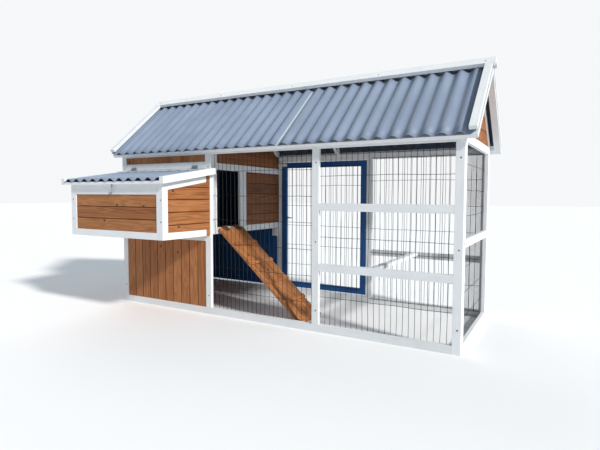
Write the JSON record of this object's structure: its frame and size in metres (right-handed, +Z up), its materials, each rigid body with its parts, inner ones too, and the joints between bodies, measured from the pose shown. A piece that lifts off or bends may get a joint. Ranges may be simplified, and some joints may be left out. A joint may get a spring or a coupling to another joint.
{
  "type": "chicken coop",
  "caption": "Chicken coop: raised timber house with ramp and lidded nest box, wire run with back door, corrugated gable roof.",
  "frame": {"origin": "on the ground under the middle of the whole coop's bounding box", "axes": "+X along the coop from the nest end to the run end, +Y from the nest box to the doors at the back, +Z up"},
  "size_m": [2.386, 1.2266, 1.4288],
  "materials": {
    "white_paint": "white matt paint over sawn softwood",
    "brown_stain": "red-brown satin wood stain",
    "bare_ramp": "thin orange-brown stain, matt",
    "blue_paint": "dark blue satin paint",
    "slate_sheet": "blue-grey satin coil coating",
    "dark_wire": "dark grey coated welded wire",
    "zinc_fitting": "dull zinc plating"
  },
  "bodies": {
    "coop": {"front_posts": "white_paint", "front_rails": "white_paint", "house_front_rails": "white_paint", "house_front_boards": "brown_stain", "front_mesh_middle": "dark_wire", "front_mesh_run": "dark_wire", "end_posts": "white_paint", "end_rails": "white_paint", "right_end_mesh": "dark_wire", "left_end_boards": "brown_stain", "gable_rafters": "white_paint", "gable_boards": "brown_stain", "house_wall_posts": "white_paint", "house_wall_rails": "white_paint", "house_wall_boards": "brown_stain", "house_wall_gable": "brown_stain", "inner_rafters": "white_paint", "eaves_battens": "white_paint", "verge_battens": "white_paint", "ridge_beam": "white_paint", "roof_sheet_front_left": "slate_sheet", "roof_sheet_front_right": "slate_sheet", "roof_sheet_back_left": "slate_sheet", "roof_sheet_back_right": "slate_sheet", "ridge_boards": "white_paint", "barge_boards": "white_paint", "house_floor": "brown_stain", "back_posts": "white_paint", "back_rails": "white_paint", "run_back_mesh": "dark_wire", "door_stops": "white_paint", "perch": "white_paint", "nest_posts": "white_paint", "nest_front_rails": "white_paint", "nest_front_boards": "brown_stain", "nest_side_rails": "white_paint", "nest_side_boards": "brown_stain", "nest_floor": "brown_stain", "nest_dividers": "brown_stain", "nest_fittings": "zinc_fitting", "sill_hinge_plates": "zinc_fitting", "back_post_fittings": "zinc_fitting"},
    "nest_lid": {"lid_side_rails": "white_paint", "lid_battens": "white_paint", "lid_sheet": "slate_sheet", "lid_fittings": "zinc_fitting"},
    "nest_lid_hook": {"lid_hook": "zinc_fitting"},
    "ramp": {"ramp_board": "bare_ramp", "ramp_cleats": "bare_ramp", "ramp_hinge_leaves": "zinc_fitting"},
    "mesh_door": {"mesh_door_stiles": "blue_paint", "mesh_door_rails": "blue_paint", "mesh_door_mesh": "dark_wire", "mesh_door_fittings": "zinc_fitting"},
    "mesh_door_bolt": {"mesh_door_bolt": "zinc_fitting"},
    "solid_door": {"solid_door_frame": "blue_paint", "solid_door_boards": "blue_paint", "solid_door_fittings": "zinc_fitting"},
    "solid_door_bolt": {"solid_door_bolt": "zinc_fitting"}
  },
  "joints": [
    {"name": "nest_lid_hinge", "type": "hinge", "parent": "coop", "child": "nest_lid", "pos_m": [-0.741, -0.21879, 0.88801], "axis": [-1, 0, 0], "range_deg": [0, 70]},
    {"name": "lid_hook_swing", "type": "hinge", "parent": "nest_lid", "child": "nest_lid_hook", "pos_m": [-0.741, -0.59369, 0.77009], "axis": [0, 1, 0], "range_deg": [-60, 15]},
    {"name": "ramp_lift", "type": "hinge", "parent": "coop", "child": "ramp", "pos_m": [-0.3375, -0.04018, 0.5306], "axis": [0, -1, 0], "range_deg": [0, 75]},
    {"name": "mesh_door_swing", "type": "hinge", "parent": "coop", "child": "mesh_door", "pos_m": [0.3455, 0.56041, 0.504], "axis": [0, 0, -1], "range_deg": [0, 110]},
    {"name": "mesh_door_bolt_slide", "type": "slide", "parent": "mesh_door", "child": "mesh_door_bolt", "axis": [-1, 0, 0], "range_m": [0, 0.025]},
    {"name": "solid_door_swing", "type": "hinge", "parent": "coop", "child": "solid_door", "pos_m": [-1.0875, 0.56041, 0.504], "axis": [0, 0, 1], "range_deg": [0, 110]},
    {"name": "solid_door_bolt_slide", "type": "slide", "parent": "solid_door", "child": "solid_door_bolt", "axis": [1, 0, 0], "range_m": [0, 0.025]}
  ]
}
